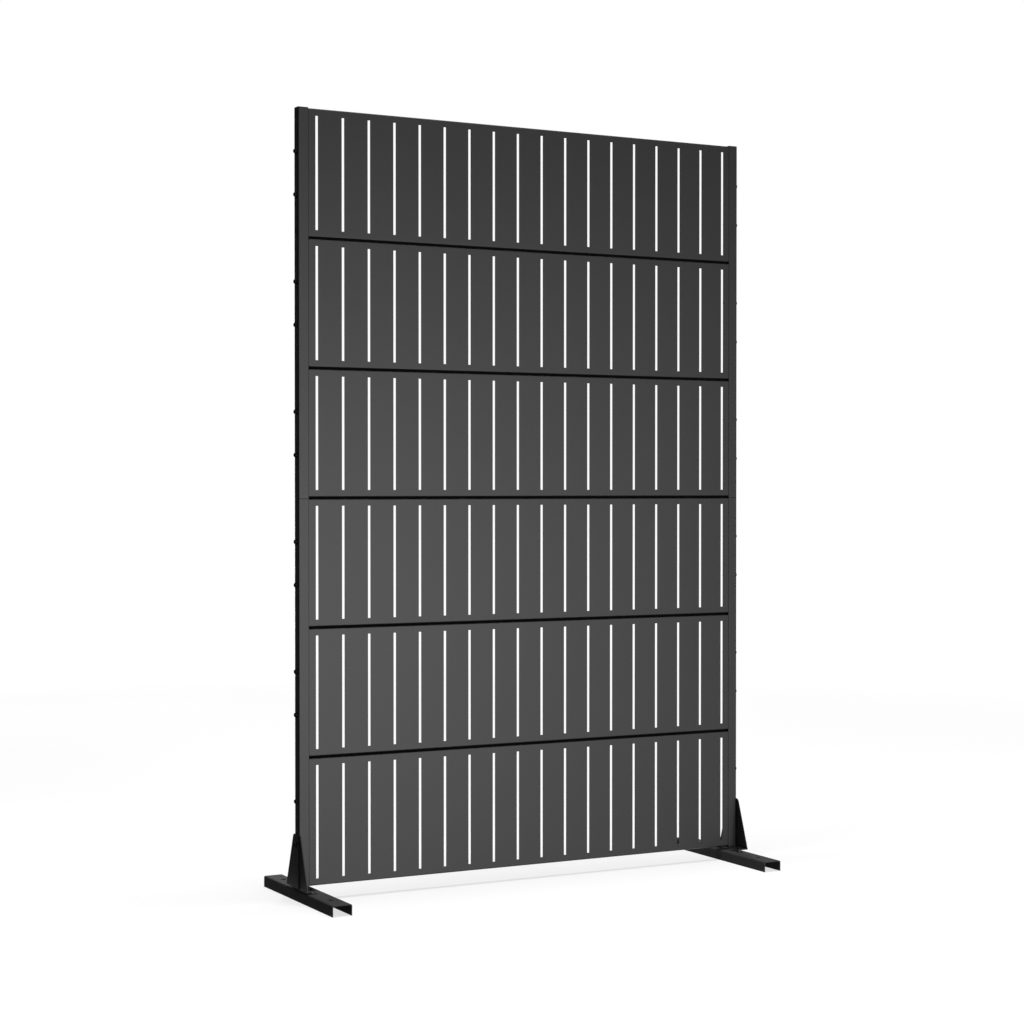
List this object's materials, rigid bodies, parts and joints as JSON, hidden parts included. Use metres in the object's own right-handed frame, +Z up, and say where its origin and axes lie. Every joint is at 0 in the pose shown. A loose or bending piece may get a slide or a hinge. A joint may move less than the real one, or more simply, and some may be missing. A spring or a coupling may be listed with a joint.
{
  "type": "free-standing slatted metal screen",
  "caption": "Free-standing black metal privacy screen: stacked slotted sheet trays bolted between channel posts on bracketed channel feet.",
  "frame": {"origin": "middle of the footprint, on the ground", "axes": "+Z up, +X along the screen to the right seen from the front, +Y from the flat front to the open back"},
  "size_m": [1.2498, 0.42, 1.8635],
  "materials": {
    "powder_coat": "satin black powder coat, fine texture",
    "black_fastener": "blackened steel",
    "zinc_plate": "bright zinc plate",
    "black_plastic": "moulded black plastic"
  },
  "bodies": {
    "root": {"panel_1": "powder_coat", "panel_2": "powder_coat", "panel_3": "powder_coat", "panel_4": "powder_coat", "panel_5": "powder_coat", "panel_6": "powder_coat", "left_lower_post": "powder_coat", "left_upper_post": "powder_coat", "left_foot_channel": "powder_coat", "left_foot_bracket": "powder_coat", "left_panel_screws": "black_fastener", "left_panel_washers": "black_fastener", "left_foot_bolts": "black_fastener", "left_post_splice": "zinc_plate", "left_screw_sleeves": "zinc_plate", "left_panel_nuts": "zinc_plate", "left_foot_washers": "zinc_plate", "left_foot_nuts": "zinc_plate", "left_foot_spacers": "black_plastic", "left_top_cap": "black_plastic", "right_lower_post": "powder_coat", "right_upper_post": "powder_coat", "right_foot_channel": "powder_coat", "right_foot_bracket": "powder_coat", "right_panel_screws": "black_fastener", "right_panel_washers": "black_fastener", "right_foot_bolts": "black_fastener", "right_post_splice": "zinc_plate", "right_screw_sleeves": "zinc_plate", "right_panel_nuts": "zinc_plate", "right_foot_washers": "zinc_plate", "right_foot_nuts": "zinc_plate", "right_foot_spacers": "black_plastic", "right_top_cap": "black_plastic"}
  },
  "joints": []
}
